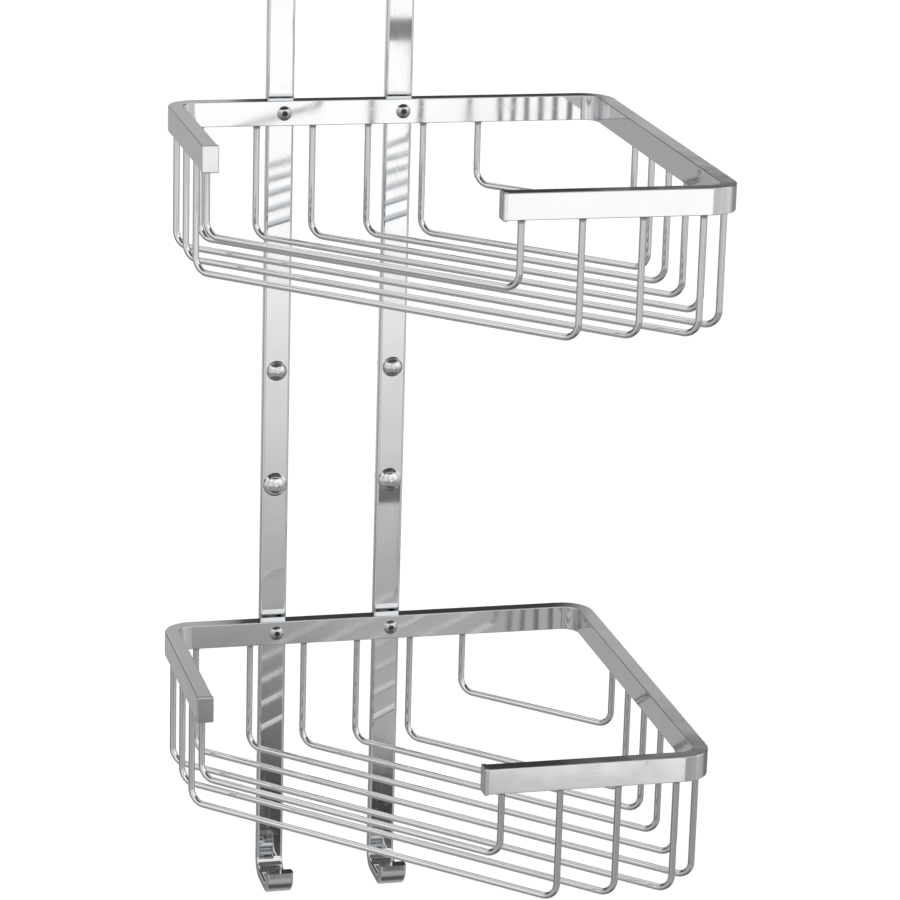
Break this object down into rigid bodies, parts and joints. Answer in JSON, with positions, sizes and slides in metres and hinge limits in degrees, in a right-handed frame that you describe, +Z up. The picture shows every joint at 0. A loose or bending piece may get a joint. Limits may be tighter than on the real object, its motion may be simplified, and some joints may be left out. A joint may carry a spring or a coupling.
{
  "type": "shower caddy",
  "caption": "Tiered corner shower caddy: open wire baskets with flat-band rims, screwed to flat rails that hook over a shower screen and end in J hooks.",
  "frame": {"origin": "midway between the two screen hooks, on the liner surface that sits on the screen's top edge", "axes": "+Z up along the rails, +X to the right seen from inside the shower, -Y out from the screen towards the user"},
  "size_m": [0.2409, 0.2736, 0.529],
  "materials": {
    "rail_chrome": "polished chrome plate on flat bar",
    "rim_chrome": "polished chrome plate on rectangular tube",
    "cap_chrome": "polished chrome plate",
    "wire_chrome": "polished chrome plate on round wire",
    "screw_chrome": "polished chrome plate",
    "spacer": "grey nylon",
    "bumper": "grey translucent silicone",
    "liner": "grey translucent silicone"
  },
  "bodies": {
    "root": {"left_hook_liner": "liner", "left_rail": "rail_chrome", "lower_back_guard_wire": "wire_chrome", "lower_bumper_screws": "screw_chrome", "lower_bumpers": "bumper", "lower_cup_washers": "screw_chrome", "lower_floor_wire_1": "wire_chrome", "lower_floor_wire_2": "wire_chrome", "lower_floor_wire_3": "wire_chrome", "lower_floor_wire_4": "wire_chrome", "lower_floor_wire_5": "wire_chrome", "lower_floor_wire_6": "wire_chrome", "lower_floor_wire_7": "wire_chrome", "lower_floor_wire_8": "wire_chrome", "lower_front_guard_wire": "wire_chrome", "lower_rim": "rim_chrome", "lower_rim_front_cap": "cap_chrome", "lower_rim_left_cap": "cap_chrome", "lower_rim_screws": "screw_chrome", "lower_rim_spacers": "spacer", "right_hook_liner": "liner", "right_rail": "rail_chrome", "upper_back_guard_wire": "wire_chrome", "upper_bumper_screws": "screw_chrome", "upper_bumpers": "bumper", "upper_floor_wire_1": "wire_chrome", "upper_floor_wire_2": "wire_chrome", "upper_floor_wire_3": "wire_chrome", "upper_floor_wire_4": "wire_chrome", "upper_floor_wire_5": "wire_chrome", "upper_floor_wire_6": "wire_chrome", "upper_floor_wire_7": "wire_chrome", "upper_floor_wire_8": "wire_chrome", "upper_front_guard_wire": "wire_chrome", "upper_rim": "rim_chrome", "upper_rim_front_cap": "cap_chrome", "upper_rim_left_cap": "cap_chrome", "upper_rim_screws": "screw_chrome", "upper_rim_spacers": "spacer"}
  },
  "joints": []
}
